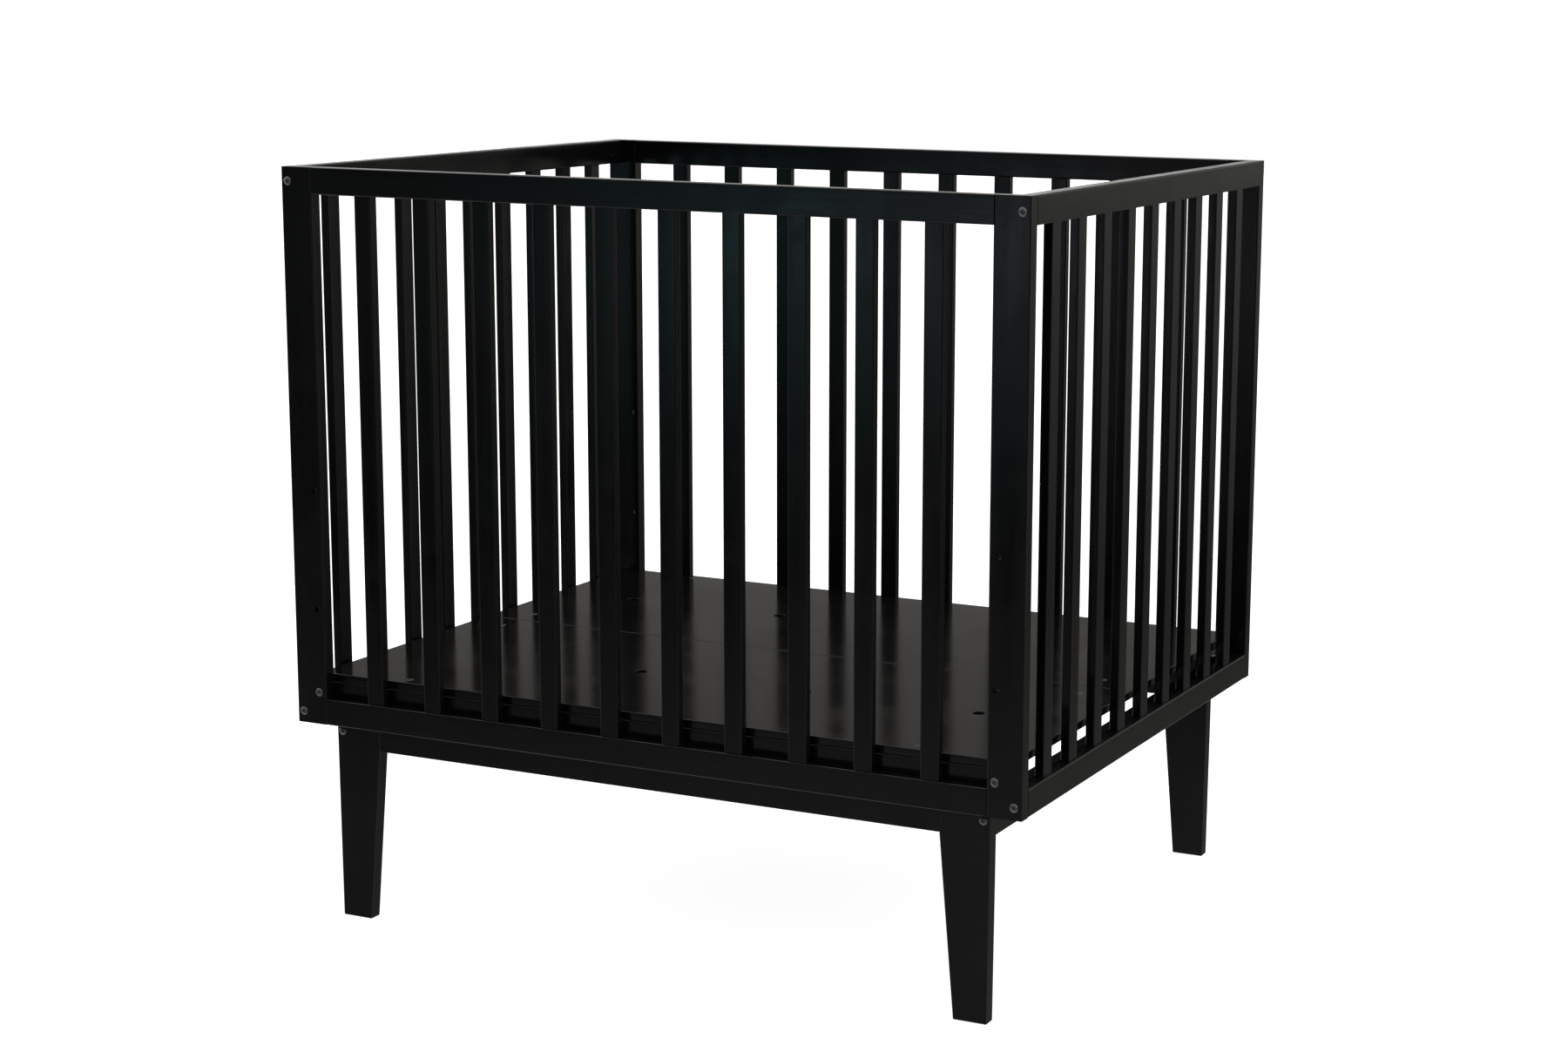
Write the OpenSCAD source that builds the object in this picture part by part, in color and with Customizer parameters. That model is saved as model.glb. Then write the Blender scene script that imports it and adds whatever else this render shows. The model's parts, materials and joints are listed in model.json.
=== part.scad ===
// Playpen: a slatted wooden box on a leg frame, with a floor that bolts in at three heights.
// Millimetres. The origin is on the ground under the middle of the box, +Z is up,
// +X runs along the long side and the front panel faces -Y.

/* [Box] */
// Outer length of the box along its long side
box_w = 990; // [700:1:1400]
// Outer depth of the box, over the front and back panels
box_d = 784; // [600:1:1100]
// Height of the box, from the underside of its rails to their top
box_h = 695; // [560:1:900]
// Height of the box above the ground
leg_drop = 252; // [120:1:400]
// Softened edge on every rail, post and slat
edge_r = 2; // [0.5:0.1:4]

/* [Panels] */
// Width of a post
post_w = 44; // [36:1:80]
// Thickness of the front and back panels
post_t = 18; // [16:0.5:30]
// Thickness of the left and right rails
side_rail_t = 20; // [18:0.5:30]
// Height of every top and bottom rail
rail_h = 33; // [30:0.5:60]
// Width of a slat
slat_w = 24; // [15:0.5:40]
// Thickness of a slat
slat_t = 12; // [8:0.5:15]
// Slats in each of the front and back panels
long_slats = 10; // [8:1:10]
// Slats in each of the left and right panels
side_slats = 9; // [7:1:9]
// Depth of the mortise that holds each end of a slat
mortise_depth = 10; // [6:0.5:12]

/* [Floor] */
// Top of the floor above the underside of the box, in the lowest position
floor_top = 62; // [60:1:90]
// Thickness of the floor boards
board_t = 10; // [8:0.5:16]
// Height of the bearers and cross rails under the boards
bearer_h = 21; // [18:0.5:28]
// Width of the bearers and cross rails
bearer_w = 36; // [30:0.5:60]
// How far the middle height lies above the lowest
middle_lift = 106; // [60:1:140]
// How far the top height lies above the lowest
top_lift = 255.5; // [180:0.5:300]
// Gap between the floor and the side rails
floor_gap = 2; // [1:0.5:4]
// Gap between a bearer and the posts
bearer_gap = 0.5; // [0.4:0.1:1.5]
// Gap between the two boards
seam_gap = 1; // [0.5:0.1:2]
// Diameter of the air holes in the boards
vent_d = 15; // [8:0.5:25]
// Air holes in each board
vents = 4; // [2:1:6]
// Distance of the outer air holes from the ends of the box
vent_end = 145; // [120:1:200]
// Distance of the outer cross rails' centres from the ends of the box
cross_rail_end = 74; // [70:1:110]
// Distance of the cross rail screws from the seam
seam_screw_y = 39.5; // [20:0.5:80]

/* [Leg frame] */
// Thickness of the legs and aprons
leg_t = 18; // [16:0.5:30]
// Distance of a leg's outer edge from the end of the box
leg_inset = 46; // [44:1:90]
// Width of a leg at the apron
leg_w = 64; // [50:1:100]
// Width of a leg at the foot
foot_w = 42.5; // [30:0.5:64]
// How far a leg's outer edge leans in over its whole height
leg_lean = 2; // [0:0.5:12]
// How far the aprons hang below the box
apron_drop = 31; // [25:1:60]
// How far the legs and the long aprons stop short of the bottom rails' top
apron_short = 3; // [2:0.5:8]
// Gap between the legs' tops and the bearers
apron_gap = 1; // [0.5:0.5:4]
// Height of the left and right aprons
side_apron_h = 42; // [36:1:56]

/* [Fasteners] */
// Diameter of the bolts
bolt_d = 6; // [5:0.5:8]
// Length of the bolts that hold the corners and the legs
bolt_l = 50; // [45:1:60]
// Diameter of a bolt's head
head_d = 10.5; // [9:0.1:12]
// Height of a bolt's head
head_h = 3.3; // [2:0.1:5]
// Across the flats of the hexagon socket
socket_af = 4; // [3:0.5:5]
// Diameter of the holes that the bolts pass through
bolt_hole_d = 7; // [6.4:0.1:9]
// Distance of the corner bolts from the top of the box
top_bolt_drop = 17.5; // [14:0.5:18]
// Distance of the corner bolts from the underside of the box
low_bolt_rise = 15; // [12:0.5:18]
// Distance of the floor bolts from the inner edge of the post
floor_bolt_edge = 10; // [9:0.5:14]
// Distance of the leg bolts below the box
leg_bolt_drop = 10; // [9:0.5:14]
// Diameter of a barrel nut
barrel_d = 10; // [9:0.5:12]
// Length of a barrel nut
barrel_l = 12; // [10:0.5:13]
// Distance of the inner leg frame screws from the middle of the box
frame_screw_x = 141.5; // [60:0.5:200]
// Diameter of the wooden dowels
dowel_d = 8; // [6:0.5:9]
// Length of the wooden dowels
dowel_l = 36; // [20:1:40]
// Diameter of the locating dowels at the side rails' ends
pin_d = 6; // [4:0.5:6]
// Shank diameter of the wood screws
screw_d = 4; // [3:0.5:5]
// Head diameter of the wood screws
screw_head_d = 9; // [7:0.5:10]

/* [Hidden] */
$fn = 48;

// Clearance round a dowel, a tenon or a bolt in a nut.
fit = 0.1;
// Clearance between the notch in a bearer and the bolt it hooks over.
notch_gap = 0.4;
// Extra depth of a dowel, pin or screw hole past what sits in it.
hole_spare = 0.5;
// How far a cutting shape passes the face that it cuts.
cut = 1;

// A button head's straight rim, and the depth of its socket.
head_rim = 1;
socket_depth = 2.1;
// A wood screw's head: its straight rim, and the width, length and depth of its cross recess.
screw_rim = 0.4;
recess_w = 1;
recess_l = 4.6;
recess_depth = 1.8;
screw_tip_d = 0.4;

half_w = box_w / 2;
half_d = box_d / 2;
box_z = leg_drop;
top_z = box_z + box_h;
post_back = half_d - post_t;
post_in = half_w - post_w;
side_in = half_w - side_rail_t;
slat_l = box_h - 2 * rail_h + 2 * (mortise_depth - fit);
slat_mid_z = box_z + box_h / 2;
long_pitch = (2 * post_in - long_slats * slat_w) / (long_slats + 1) + slat_w;
long_first = -post_in - slat_w / 2;
side_pitch = (2 * post_back - side_slats * slat_w) / (side_slats + 1) + slat_w;
side_first = -post_back - slat_w / 2;
side_mid_x = half_w - side_rail_t / 2;
long_mid_y = half_d - post_t / 2;

// Corner bolts and the nuts that they draw into the side rails.
top_bolt_z = top_z - top_bolt_drop;
low_bolt_z = box_z + low_bolt_rise;
nut_back = 8;
nut_y = half_d - bolt_l + nut_back;
bolt_end_gap = 2;

// Dowels that tie a post to its two rails, and the pin beside each corner bolt.
dowel_pitch = rail_h / 2;
pin_rise = 10.5;
pin_in_post = 9;
pin_l = 24;

// Floor.
floor_z = box_z + floor_top;
board_z = floor_z - board_t;
bearer_z = board_z - bearer_h / 2;
floor_side = side_in - floor_gap;
bearer_out = post_back - bearer_gap;
bearer_in = bearer_out - bearer_w;
board_set = 1.5;
board_out = bearer_out - board_set;
floor_bolt_x = post_in + floor_bolt_edge;
floor_bolt_z = bearer_z;
bolt_heights = [floor_bolt_z, floor_bolt_z + middle_lift, floor_bolt_z + top_lift];
bearer_mid_y = (bearer_out + bearer_in) / 2;
vent_x = half_w - vent_end;
vent_pitch = 2 * vent_x / (vents - 1);
cross_rail_x = half_w - cross_rail_end;
cross_dowel_pitch = bearer_w / 2;
cross_dowel_l = 30;
floor_screw_cover = 4;
floor_screw_l = board_t + bearer_h - floor_screw_cover;

// The flange nut behind the bearer, and the floor bolt that reaches it.
flange_d = 14.2;
flange_t = 1.5;
hex_af = 10;
flange_nut_h = 6;
nut_gap = 0.5;
floor_nut_y = bearer_in - nut_gap;
floor_bolt_l = half_d - floor_nut_y + flange_nut_h + 1;

// Leg frame.
leg_out_y = post_back;
leg_in_y = post_back - leg_t;
leg_mid_y = post_back - leg_t / 2;
leg_out_x = half_w - leg_inset;
leg_in_x = leg_out_x - leg_w;
apron_rise = min(rail_h - apron_short, floor_top - board_t - bearer_h - apron_gap);
leg_top_z = box_z + apron_rise;
apron_z = box_z - apron_drop;
apron_h = apron_rise + apron_drop;
leg_bolt_z = box_z - leg_bolt_drop;
side_apron_mid_x = leg_out_x - leg_t / 2;
leg_nut_y = leg_out_y - bolt_l + nut_back;
frame_screw_rise = 14;
frame_screw_cover = 6;
frame_screw_z = box_z + frame_screw_rise;
frame_screw_l = leg_t + post_t - frame_screw_cover;
foot_r = 2;
side_apron_set = 1;

wood = "#18191a";
zinc = "#55575a";
beech = "#b98f5f";

LONG_SIDES = [["front", -1], ["back", 1]];

// ---- Shapes that repeat ----

// A rectangle with softened corners, centred.
module soft_rectangle(a, b, r) {
    square([a - 2 * r, b], center = true);
    square([a, b - 2 * r], center = true);
    for (x = [-1, 1], y = [-1, 1])
        translate([x * (a / 2 - r), y * (b / 2 - r)]) circle(r);
}

// Straight bars with softened long edges, centred, along Z, X or Y.
module bar_z(l, x, y, r = edge_r) {
    linear_extrude(l, center = true) soft_rectangle(x, y, r);
}

module bar_x(l, y, z, r = edge_r) {
    rotate([90, 0, 90]) bar_z(l, y, z, r);
}

module bar_y(l, x, z, r = edge_r) {
    rotate([90, 0, 0]) bar_z(l, x, z, r);
}

// Mirrors a piece made for the right or back side onto side s: 1 keeps it, -1 turns it over.
module on_side_x(s) {
    mirror([s < 0 ? 1 : 0, 0, 0]) children();
}

module on_side_y(s) {
    mirror([0, s < 0 ? 1 : 0, 0]) children();
}

module four_corners() {
    for (sx = [-1, 1], sy = [-1, 1])
        on_side_x(sx) on_side_y(sy) children();
}

// A round hole or pin along Y, from y = from down to y = to.
module rod_y(d, from, to) {
    translate([0, from, 0]) rotate([90, 0, 0]) cylinder(d = d, h = from - to);
}

// A round hole or pin along X, centred.
module rod_x(d, l) {
    rotate([0, 90, 0]) cylinder(d = d, h = l, center = true);
}

// A bolt with a button head and a hexagon socket. Its head stands on y = 0 and its shank
// runs towards -Y.
module bolt(l) {
    dome = head_h - head_rim;
    dome_r = (head_d * head_d / 4 + dome * dome) / (2 * dome);
    rod_y(bolt_d, head_rim / 2, -l);
    rotate([-90, 0, 0]) difference() {
        intersection() {
            cylinder(d = head_d, h = head_h);
            translate([0, 0, head_h - dome_r]) sphere(dome_r, $fn = 64);
        }
        translate([0, 0, head_h - socket_depth])
            cylinder(d = socket_af / cos(30), h = socket_depth + cut, $fn = 6);
    }
}

// A barrel nut along X with its cross bore along Y.
module barrel_nut() {
    difference() {
        rod_x(barrel_d, barrel_l);
        rod_y(bolt_d + 2 * fit, barrel_d, -barrel_d);
    }
}

// A countersunk wood screw that points down, with its head's top at z = 0.
module screw_down(l) {
    cone_h = (screw_head_d - screw_d) / 2;
    tip = screw_d;
    difference() {
        union() {
            translate([0, 0, -screw_rim]) cylinder(d = screw_head_d, h = screw_rim);
            translate([0, 0, -screw_rim - cone_h])
                cylinder(d1 = screw_d, d2 = screw_head_d, h = cone_h);
            translate([0, 0, tip - l]) cylinder(d = screw_d, h = l - tip - screw_rim - cone_h);
            translate([0, 0, -l]) cylinder(d1 = screw_tip_d, d2 = screw_d, h = tip);
        }
        for (a = [0, 90])
            rotate([0, 0, a]) cube([recess_l, recess_w, 2 * recess_depth], center = true);
    }
}

// The hole that screw_down leaves in the wood.
module screw_hole(l) {
    cone_h = (screw_head_d - screw_d) / 2;
    translate([0, 0, -screw_rim]) cylinder(d = screw_head_d + 2 * fit, h = screw_rim + cut);
    translate([0, 0, -screw_rim - cone_h])
        cylinder(d1 = screw_d + 2 * fit, d2 = screw_head_d + 2 * fit, h = cone_h);
    translate([0, 0, -l - hole_spare]) cylinder(d = screw_d + 2 * fit, h = l);
}

// ---- Panels ----

// Places a piece at both dowels of each end of a long rail whose middle is at height z.
module at_rail_dowels(z) {
    for (s = [-1, 1])
        translate([post_in, long_mid_y, z + s * dowel_pitch / 2]) children();
}

// A corner post, made for the back right corner, with its bolt holes and dowel holes.
module post(sx, sy) {
    color(wood) on_side_x(sx) on_side_y(sy) difference() {
        translate([half_w - post_w / 2, long_mid_y, slat_mid_z]) bar_z(box_h, post_w, post_t);
        for (z = [top_bolt_z, low_bolt_z])
            translate([side_mid_x, 0, z]) rod_y(bolt_hole_d, half_d + cut, post_back - cut);
        for (z = bolt_heights)
            translate([floor_bolt_x, 0, z]) rod_y(bolt_hole_d, half_d + cut, post_back - cut);
        for (z = [top_z - rail_h / 2, box_z + rail_h / 2])
            at_rail_dowels(z) rod_x(dowel_d + 2 * fit, dowel_l + 2 * hole_spare);
        for (z = [top_bolt_z, low_bolt_z])
            translate([side_mid_x, 0, z + pin_rise])
                rod_y(pin_d + 2 * fit, post_back + pin_in_post + hole_spare, post_back - cut);
    }
}

// A front or back rail with a mortise for each slat. up is 1 on a bottom rail, -1 on a top rail.
module long_rail(sy, z, up) {
    color(wood) on_side_y(sy) difference() {
        translate([0, long_mid_y, z]) bar_x(2 * post_in, post_t, rail_h);
        for (i = [1:long_slats])
            translate([long_first + i * long_pitch, long_mid_y, z + up * (rail_h - mortise_depth + cut) / 2])
                bar_z(mortise_depth + cut, slat_w + 2 * fit, slat_t + 2 * fit);
        for (s = [-1, 1])
            on_side_x(s) at_rail_dowels(z) rod_x(dowel_d + 2 * fit, dowel_l + 2 * hole_spare);
        if (up > 0) at_frame_screws() screw_hole(frame_screw_l);
    }
}

// A left or right rail, with mortises and the holes for its bolts, barrel nuts and pins.
module side_rail(sx, z, bolt_z, up) {
    color(wood) on_side_x(sx) difference() {
        translate([side_mid_x, 0, z]) bar_y(2 * post_back, side_rail_t, rail_h);
        for (i = [1:side_slats])
            translate([side_mid_x, side_first + i * side_pitch, z + up * (rail_h - mortise_depth + cut) / 2])
                bar_z(mortise_depth + cut, slat_t + 2 * fit, slat_w + 2 * fit);
        for (sy = [-1, 1]) on_side_y(sy) {
            translate([side_mid_x, 0, bolt_z])
                rod_y(bolt_hole_d, post_back + cut, half_d - bolt_l - bolt_end_gap);
            translate([side_mid_x - side_rail_t / 2 + barrel_l / 2, nut_y, bolt_z])
                rod_x(barrel_d + 2 * fit, side_rail_t);
            translate([side_mid_x, 0, bolt_z + pin_rise])
                rod_y(pin_d + 2 * fit, post_back + cut, post_back + pin_in_post - pin_l - hole_spare);
        }
    }
}

module long_slat(sy, i) {
    color(wood) translate([long_first + i * long_pitch, sy * long_mid_y, slat_mid_z])
        bar_z(slat_l, slat_w, slat_t);
}

module side_slat_row(sx) {
    color(wood) for (i = [1:side_slats])
        translate([sx * side_mid_x, side_first + i * side_pitch, slat_mid_z])
            bar_z(slat_l, slat_t, slat_w);
}

module panel_dowels() {
    color(beech) four_corners()
        for (z = [top_z - rail_h / 2, box_z + rail_h / 2])
            at_rail_dowels(z) rod_x(dowel_d, dowel_l);
}

module corner_pins() {
    color(beech) four_corners()
        for (z = [top_bolt_z, low_bolt_z])
            translate([side_mid_x, 0, z + pin_rise])
                rod_y(pin_d, post_back + pin_in_post, post_back + pin_in_post - pin_l);
}

// ---- Floor ----

// Places a piece at the places where a board is screwed to its bearer and to the outer cross rails.
module at_floor_screws(sy) {
    for (sx = [-1, 1]) {
        translate([sx * vent_x, sy * bearer_mid_y, floor_z]) children();
        translate([sx * cross_rail_x, sy * seam_screw_y, floor_z]) children();
    }
}

module floor_board(sy) {
    inner = seam_gap / 2;
    depth = board_out - inner;
    color(wood) difference() {
        translate([0, sy * (inner + depth / 2), floor_z - board_t / 2])
            bar_x(2 * floor_side, depth, board_t, min(edge_r / 2, board_t / 4));
        for (i = [0:vents - 1])
            translate([i * vent_pitch - vent_x, sy * (inner + depth / 2), floor_z - board_t - cut])
                cylinder(d = vent_d, h = board_t + 2 * cut);
        at_floor_screws(sy) screw_hole(floor_screw_l);
    }
}

// A front or back bearer. Its ends are notched from below, so that they hook over the bolts.
module bearer(sy) {
    notch = bolt_d + 2 * notch_gap;
    color(wood) difference() {
        on_side_y(sy) difference() {
            translate([0, bearer_mid_y, bearer_z]) bar_x(2 * floor_side, bearer_w, bearer_h);
            for (s = [-1, 1]) {
                translate([s * floor_bolt_x, 0, floor_bolt_z])
                    rod_y(notch, bearer_out + cut, bearer_in - cut);
                translate([s * floor_bolt_x, bearer_mid_y, floor_bolt_z - bearer_h / 2])
                    cube([notch, bearer_w + 2 * cut, bearer_h], center = true);
            }
            at_cross_dowels() rod_y(dowel_d + 2 * fit, cross_dowel_l / 2 + hole_spare, -cut);
        }
        at_floor_screws(sy) screw_hole(floor_screw_l);
    }
}

// Places a piece at the face where a cross rail meets the back bearer.
module at_cross_dowels(rails = [-1, 0, 1]) {
    for (x = rails, s = [-1, 1])
        translate([x * cross_rail_x + s * cross_dowel_pitch / 2, bearer_in, bearer_z]) children();
}

module cross_rail(place) {
    color(wood) difference() {
        translate([place * cross_rail_x, 0, bearer_z]) bar_y(2 * bearer_in, bearer_w, bearer_h);
        for (s = [-1, 1])
            on_side_y(s) at_cross_dowels([place])
                rod_y(dowel_d + 2 * fit, cut, -cross_dowel_l / 2 - hole_spare);
        for (s = [-1, 1])
            at_floor_screws(s) screw_hole(floor_screw_l);
    }
}

module floor_dowels() {
    color(beech) for (s = [-1, 1])
        on_side_y(s) at_cross_dowels() rod_y(dowel_d, cross_dowel_l / 2, -cross_dowel_l / 2);
}

module floor_screws() {
    color(zinc) for (s = [-1, 1])
        at_floor_screws(s) screw_down(floor_screw_l);
}

module floor_bolts() {
    color(zinc) four_corners()
        translate([floor_bolt_x, half_d, floor_bolt_z]) bolt(floor_bolt_l);
}

module floor_nuts() {
    color(zinc) four_corners() translate([floor_bolt_x, floor_nut_y, floor_bolt_z])
        rotate([90, 0, 0]) difference() {
            union() {
                cylinder(d = flange_d, h = flange_t);
                cylinder(d = hex_af / cos(30), h = flange_nut_h, $fn = 6);
            }
            translate([0, 0, -cut]) cylinder(d = bolt_d + 2 * fit, h = flange_nut_h + 2 * cut);
        }
}

// ---- Leg frame ----

// A leg's outline as seen from the front, for the right side: upright behind the rail,
// then tapered from the apron's underside to the foot.
function leg_outline() = [
    [leg_out_x, leg_top_z],
    [leg_out_x - leg_lean, foot_r],
    [leg_out_x - leg_lean - foot_r, 0],
    [leg_out_x - leg_lean - foot_w + foot_r, 0],
    [leg_out_x - leg_lean - foot_w, foot_r],
    [leg_in_x, apron_z],
    [leg_in_x, leg_top_z]];

module leg(sx, sy) {
    color(wood) on_side_x(sx) on_side_y(sy) difference() {
        translate([0, leg_out_y, 0]) rotate([90, 0, 0])
            linear_extrude(leg_t) polygon(leg_outline());
        translate([side_apron_mid_x, 0, leg_bolt_z])
            rod_y(bolt_hole_d, leg_out_y + cut, leg_in_y - cut);
        at_apron_dowels() rod_x(dowel_d + 2 * fit, dowel_l + 2 * hole_spare);
        at_frame_screws() screw_hole(frame_screw_l);
    }
}

// Places a piece at the dowels between a leg and a long apron.
module at_apron_dowels() {
    for (s = [-1, 1])
        translate([leg_in_x, leg_mid_y, apron_z + apron_h / 2 + s * apron_h / 4]) children();
}

// Places a piece, turned to point outwards, at the screws that hold the legs and the back
// apron to the back bottom rail.
module at_frame_screws() {
    for (s = [-1, 1], x = [leg_in_x + leg_w / 2, frame_screw_x])
        translate([s * x, leg_in_y, frame_screw_z]) rotate([90, 0, 0]) children();
}

module long_apron(sy) {
    color(wood) on_side_y(sy) difference() {
        translate([0, leg_mid_y, apron_z + apron_h / 2]) bar_x(2 * leg_in_x, leg_t, apron_h, edge_r / 2);
        for (s = [-1, 1])
            on_side_x(s) at_apron_dowels() rod_x(dowel_d + 2 * fit, dowel_l + 2 * hole_spare);
        at_frame_screws() screw_hole(frame_screw_l);
    }
}

// A left or right apron between the backs of two legs, flush with their outer edges.
module side_apron(sx) {
    color(wood) on_side_x(sx) difference() {
        translate([side_apron_mid_x - side_apron_set / 2, 0, apron_z + side_apron_h / 2])
            bar_y(2 * leg_in_y, leg_t - side_apron_set, side_apron_h, edge_r / 2);
        for (sy = [-1, 1]) on_side_y(sy) {
            translate([side_apron_mid_x, 0, leg_bolt_z])
                rod_y(bolt_hole_d, leg_in_y + cut, leg_out_y - bolt_l - bolt_end_gap);
            translate([side_apron_mid_x - leg_t / 2 + barrel_l / 2, leg_nut_y, leg_bolt_z])
                rod_x(barrel_d + 2 * fit, leg_t);
        }
    }
}

module apron_dowels() {
    color(beech) four_corners() at_apron_dowels() rod_x(dowel_d, dowel_l);
}

// ---- Bolts, barrel nuts and frame screws ----

module frame_bolts() {
    color(zinc) four_corners() {
        for (z = [top_bolt_z, low_bolt_z])
            translate([side_mid_x, half_d, z]) bolt(bolt_l);
        translate([side_apron_mid_x, leg_out_y, leg_bolt_z]) bolt(bolt_l);
    }
}

module barrel_nuts() {
    color(zinc) four_corners() {
        for (z = [top_bolt_z, low_bolt_z])
            translate([side_mid_x, nut_y, z]) barrel_nut();
        translate([side_apron_mid_x, leg_nut_y, leg_bolt_z]) barrel_nut();
    }
}

module frame_screws() {
    color(zinc) for (sy = [-1, 1])
        on_side_y(sy) at_frame_screws() screw_down(frame_screw_l);
}

// ---- Nodes ----

post(-1, -1);  // front_left_post
post(1, -1);  // front_right_post
post(-1, 1);  // back_left_post
post(1, 1);  // back_right_post
long_rail(-1, top_z - rail_h / 2, -1);  // front_top_rail
long_rail(-1, box_z + rail_h / 2, 1);  // front_bottom_rail
long_rail(1, top_z - rail_h / 2, -1);  // back_top_rail
long_rail(1, box_z + rail_h / 2, 1);  // back_bottom_rail
side_rail(-1, top_z - rail_h / 2, top_bolt_z, -1);  // left_top_rail
side_rail(-1, box_z + rail_h / 2, low_bolt_z, 1);  // left_bottom_rail
side_rail(1, top_z - rail_h / 2, top_bolt_z, -1);  // right_top_rail
side_rail(1, box_z + rail_h / 2, low_bolt_z, 1);  // right_bottom_rail
for (side = LONG_SIDES, i = [1:long_slats])
    long_slat(side[1], i);
side_slat_row(-1);  // left_slats
side_slat_row(1);  // right_slats
panel_dowels();
corner_pins();
floor_board(-1);  // front_floor_board
floor_board(1);  // back_floor_board
bearer(-1);  // front_bearer
bearer(1);  // back_bearer
cross_rail(-1);  // left_cross_rail
cross_rail(0);  // centre_cross_rail
cross_rail(1);  // right_cross_rail
floor_dowels();
floor_screws();
floor_bolts();
floor_nuts();
leg(-1, -1);  // front_left_leg
leg(1, -1);  // front_right_leg
leg(-1, 1);  // back_left_leg
leg(1, 1);  // back_right_leg
long_apron(-1);  // front_apron
long_apron(1);  // back_apron
side_apron(-1);  // left_apron
side_apron(1);  // right_apron
apron_dowels();
frame_bolts();
barrel_nuts();
frame_screws();
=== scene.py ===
import json
import math

import bmesh
import bpy
from mathutils import Matrix, Vector


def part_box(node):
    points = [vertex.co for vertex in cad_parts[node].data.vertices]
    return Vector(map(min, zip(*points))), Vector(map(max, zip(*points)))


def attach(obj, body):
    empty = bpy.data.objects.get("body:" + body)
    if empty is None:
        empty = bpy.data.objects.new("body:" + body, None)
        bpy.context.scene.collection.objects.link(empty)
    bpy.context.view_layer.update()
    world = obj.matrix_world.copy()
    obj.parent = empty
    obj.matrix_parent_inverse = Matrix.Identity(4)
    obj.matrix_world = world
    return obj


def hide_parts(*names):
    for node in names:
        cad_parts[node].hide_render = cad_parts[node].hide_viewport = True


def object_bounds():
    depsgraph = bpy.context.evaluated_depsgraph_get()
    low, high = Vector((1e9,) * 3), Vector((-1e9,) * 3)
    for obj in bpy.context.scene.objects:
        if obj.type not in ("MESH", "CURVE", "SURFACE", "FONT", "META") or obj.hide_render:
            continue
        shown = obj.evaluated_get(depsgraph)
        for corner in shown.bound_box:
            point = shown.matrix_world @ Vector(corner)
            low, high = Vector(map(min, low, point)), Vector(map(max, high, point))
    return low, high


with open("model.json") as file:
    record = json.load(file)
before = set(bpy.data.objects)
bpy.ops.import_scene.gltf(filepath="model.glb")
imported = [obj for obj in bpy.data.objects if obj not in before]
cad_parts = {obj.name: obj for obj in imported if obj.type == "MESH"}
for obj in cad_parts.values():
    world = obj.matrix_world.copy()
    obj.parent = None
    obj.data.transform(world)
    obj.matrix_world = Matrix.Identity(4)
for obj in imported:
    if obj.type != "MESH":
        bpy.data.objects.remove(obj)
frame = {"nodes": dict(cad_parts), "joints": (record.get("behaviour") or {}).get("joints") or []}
cad_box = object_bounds()


# ---- Posts ----
# Four corner posts of beech, 44 x 18 mm, planed, rounded along their long edges and sprayed
# with black satin lacquer. Each is drilled on the bench for its two corner bolts and for the
# three heights of the floor. The lacquer lets the pores and figure of the wood just show.

SIDES = {"left": -1, "right": 1}
FACES = {"front": -1, "back": 1}
LONG_EDGE_R = 0.002
END_EASE = 0.0006
ROUND_STEPS = 4
EASE_STEPS = 2
LIES_ALONG = 0.9
LIES_ACROSS = 0.1
ROUND_SIDES = 32
SHARP_ANGLE = 35
BOLT_HOLE_R = 0.0035
HOLE_EASE = 0.0006
EASE_BULGE = 0.3
OVERCUT = 0.001
FLOOR_HOLE_IN = 0.010
TOP_BOLT_DROP = 0.0175
LOW_BOLT_RISE = 0.015
MIDDLE_LIFT = 0.106
BLACK = (0.0042, 0.0044, 0.0047, 1)
BLACK_PALER = (0.0115, 0.0108, 0.01, 1)
DUST = (0.11, 0.108, 0.102, 1)
GRAIN_SQUEEZE = 0.025


def pick(*pieces):
    """Selects these pieces alone. The last one is the active one."""
    bpy.ops.object.select_all(action="DESELECT")
    for piece in pieces:
        piece.select_set(True)
    bpy.context.view_layer.objects.active = pieces[-1]


def round_edges(piece, radius, steps, wanted):
    """Rounds the edges for which wanted(middle, direction) holds."""
    pick(piece)
    bpy.ops.object.mode_set(mode="EDIT")
    bpy.ops.mesh.select_mode(type="EDGE")
    bpy.ops.mesh.select_all(action="DESELECT")
    net = bmesh.from_edit_mesh(piece.data)
    for edge in net.edges:
        start, end = (corner.co for corner in edge.verts)
        if wanted((start + end) / 2, (end - start).normalized()):
            edge.select_set(True)
    bmesh.update_edit_mesh(piece.data)
    bpy.ops.mesh.bevel(offset=radius, segments=steps, profile=0.5, affect="EDGES")
    bpy.ops.object.mode_set(mode="OBJECT")


def blank(name, low, high):
    """A sawn block between two corners."""
    bpy.ops.object.select_all(action="DESELECT")
    low, high = Vector(low), Vector(high)
    bpy.ops.mesh.primitive_cube_add(size=1, location=(low + high) / 2, scale=high - low)
    piece = bpy.context.object
    piece.name = piece.data.name = name
    bpy.ops.object.transform_apply(location=True, rotation=True, scale=True)
    return piece


def bar(name, low, high, soft=LONG_EDGE_R, ease=END_EASE):
    """A planed bar between two corners: its long edges are rounded and its ends eased."""
    size = Vector(high) - Vector(low)
    along = max(range(3), key=lambda axis: size[axis])
    piece = blank(name, low, high)
    round_edges(piece, soft, ROUND_STEPS, lambda middle, way: abs(way[along]) > LIES_ALONG)
    round_edges(piece, ease, EASE_STEPS, lambda middle, way: abs(way[along]) < LIES_ACROSS)
    return piece


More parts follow.
